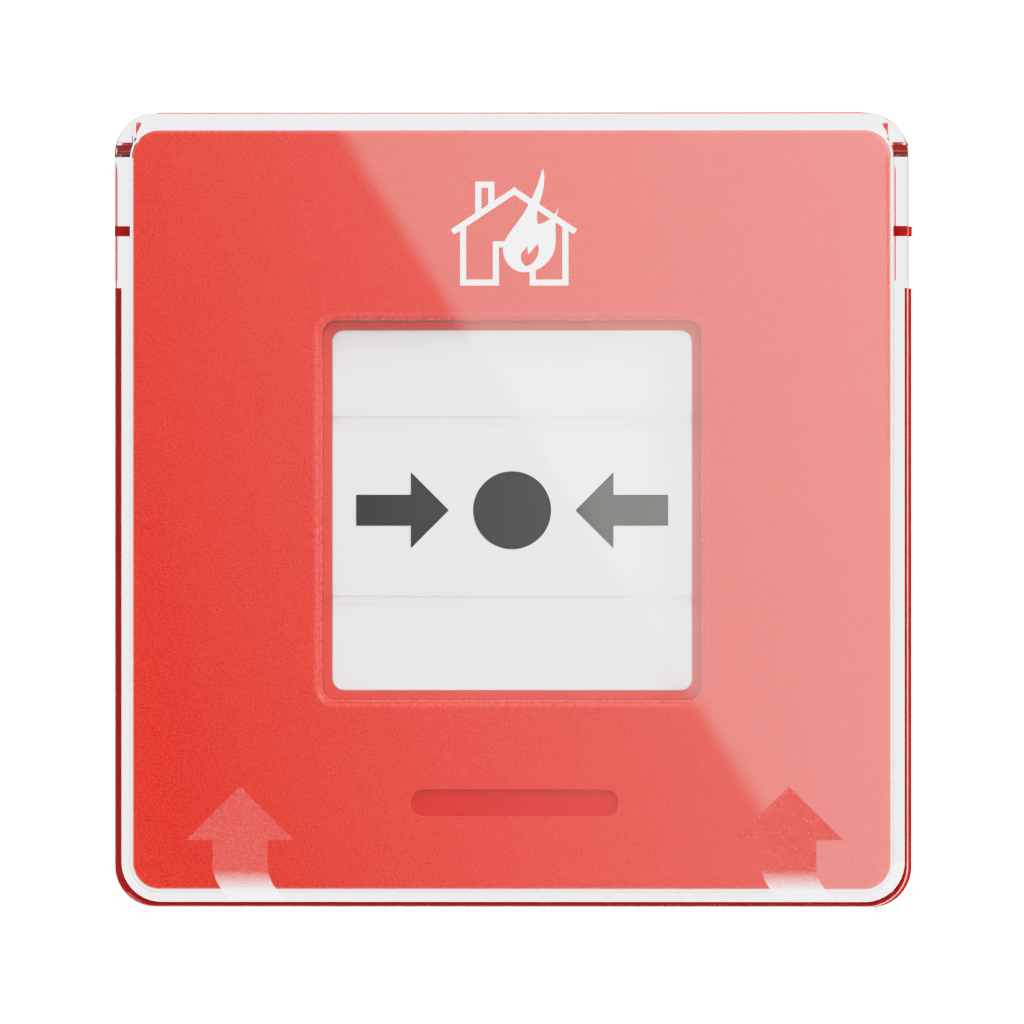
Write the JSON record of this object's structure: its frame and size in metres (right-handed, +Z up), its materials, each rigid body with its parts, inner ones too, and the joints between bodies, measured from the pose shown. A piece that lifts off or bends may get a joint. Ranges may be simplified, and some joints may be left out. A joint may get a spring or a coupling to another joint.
{
  "type": "manual call point",
  "caption": "Square red wall-mounted fire alarm call point with a hinged clear lid and a folding press panel marked with a dot between arrows.",
  "frame": {"origin": "middle of the bracket's rear face, on the wall", "axes": "+X right and +Z up as seen from the front; the front faces -Y and +Y points into the wall"},
  "size_m": [0.0888, 0.056, 0.0888],
  "materials": {
    "bracket_plastic": "satin white",
    "red_plastic": "fine matt grain",
    "gasket_rubber": "matt",
    "screw_steel": "zinc plated",
    "white_print": "printed ink",
    "grey_print": "printed ink",
    "lid_clear": "clear, polished",
    "panel_clear": "clear, satin",
    "panel_white": "matt white",
    "plunger_plastic": "satin",
    "spring_steel": "bright",
    "black_plastic": "satin",
    "board": "solder mask",
    "shield_steel": "tinned",
    "capacitor_sleeve": "drawn can",
    "antenna_brass": "bright",
    "led_clear": "clear",
    "light_guide_clear": "clear",
    "cell_sleeve": "shrink sleeve"
  },
  "bodies": {
    "bracket": {"wall_bracket": "bracket_plastic"},
    "lid": {"lid": "lid_clear"},
    "element_top": {"panel_top": "panel_clear", "panel_white_top": "panel_white"},
    "element_middle": {"panel_middle": "panel_clear", "panel_white_middle": "panel_white", "panel_print": "grey_print"},
    "element_bottom": {"panel_bottom": "panel_clear", "panel_white_bottom": "panel_white"},
    "plunger": {"plunger": "plunger_plastic"},
    "switch_lever": {"switch_lever": "spring_steel"},
    "switch_button": {"switch_button": "plunger_plastic"},
    "reset_latch": {"reset_latch": "spring_steel"},
    "tamper_rod": {"tamper_rod": "plunger_plastic"},
    "housing": {"rear_housing": "red_plastic", "housing_gasket": "gasket_rubber", "front_bezel": "red_plastic", "housing_screws": "screw_steel", "front_symbol": "white_print", "lid_hinge_pins": "red_plastic", "panel_tray": "red_plastic", "tray_screws": "screw_steel", "plunger_spring": "spring_steel", "plunger_guide": "plunger_plastic", "switch_body": "black_plastic", "latch_pin": "spring_steel", "latch_spring": "spring_steel", "tamper_spring": "spring_steel", "tamper_switch": "black_plastic", "main_board": "board", "board_screws": "screw_steel", "radio_module": "shield_steel", "controller_chip": "black_plastic", "capacitors": "capacitor_sleeve", "antennas": "antenna_brass", "status_led": "led_clear", "light_guide": "light_guide_clear", "battery_holder": "black_plastic", "battery_cells": "cell_sleeve", "battery_contacts": "spring_steel"}
  },
  "joints": [
    {"name": "housing_lift", "type": "slide", "parent": "bracket", "child": "housing", "axis": [0, 0, 1], "range_m": [0, 0.006]},
    {"name": "lid_hinge", "type": "hinge", "parent": "housing", "child": "lid", "pos_m": [0, -0.048, 0.0402], "axis": [-1, 0, 0], "range_deg": [0, 105]},
    {"name": "panel_press", "type": "hinge", "parent": "housing", "child": "element_top", "pos_m": [0, -0.0507, 0.021], "axis": [1, 0, 0], "range_deg": [0, 15], "stiffness_Nm_per_rad": 0.1, "springref_deg": -28.65},
    {"name": "panel_fold_upper", "type": "hinge", "parent": "element_top", "child": "element_middle", "pos_m": [0, -0.0507, 0.01], "axis": [1, 0, 0], "range_deg": [-15, 0]},
    {"name": "panel_fold_lower", "type": "hinge", "parent": "element_middle", "child": "element_bottom", "pos_m": [0, -0.0507, -0.01], "axis": [1, 0, 0], "range_deg": [-15, 0]},
    {"name": "plunger_slide", "type": "slide", "parent": "housing", "child": "plunger", "axis": [0, 1, 0], "range_m": [0, 0.00285], "deforming": ["plunger_spring"]},
    {"name": "switch_lever_turn", "type": "hinge", "parent": "housing", "child": "switch_lever", "pos_m": [-0.008, -0.0364, 0], "axis": [0, 0, 1], "range_deg": [0, 19.5]},
    {"name": "switch_button_slide", "type": "slide", "parent": "housing", "child": "switch_button", "axis": [0, 1, 0], "range_m": [0, 0.00092]},
    {"name": "reset_latch_turn", "type": "hinge", "parent": "housing", "child": "reset_latch", "pos_m": [0, -0.036, -0.016], "axis": [1, 0, 0], "range_deg": [0, 6], "stiffness_Nm_per_rad": 0.005, "springref_deg": -17.19, "deforming": ["latch_spring"]},
    {"name": "tamper_rod_slide", "type": "slide", "parent": "housing", "child": "tamper_rod", "axis": [0, -1, 0], "range_m": [0, 0.0008], "stiffness_N_per_m": 50, "springref_m": -0.003, "deforming": ["tamper_spring"]}
  ],
  "couplings": [
    {"joint": "panel_fold_upper", "follows": "panel_press", "ratio": -1},
    {"joint": "panel_fold_lower", "follows": "panel_press", "ratio": -1},
    {"joint": "plunger_slide", "follows": "panel_press", "m_per_rad": 0.010875},
    {"joint": "switch_lever_turn", "follows": "panel_press", "ratio": 1.3},
    {"joint": "switch_button_slide", "follows": "panel_press", "m_per_rad": 0.003514}
  ]
}
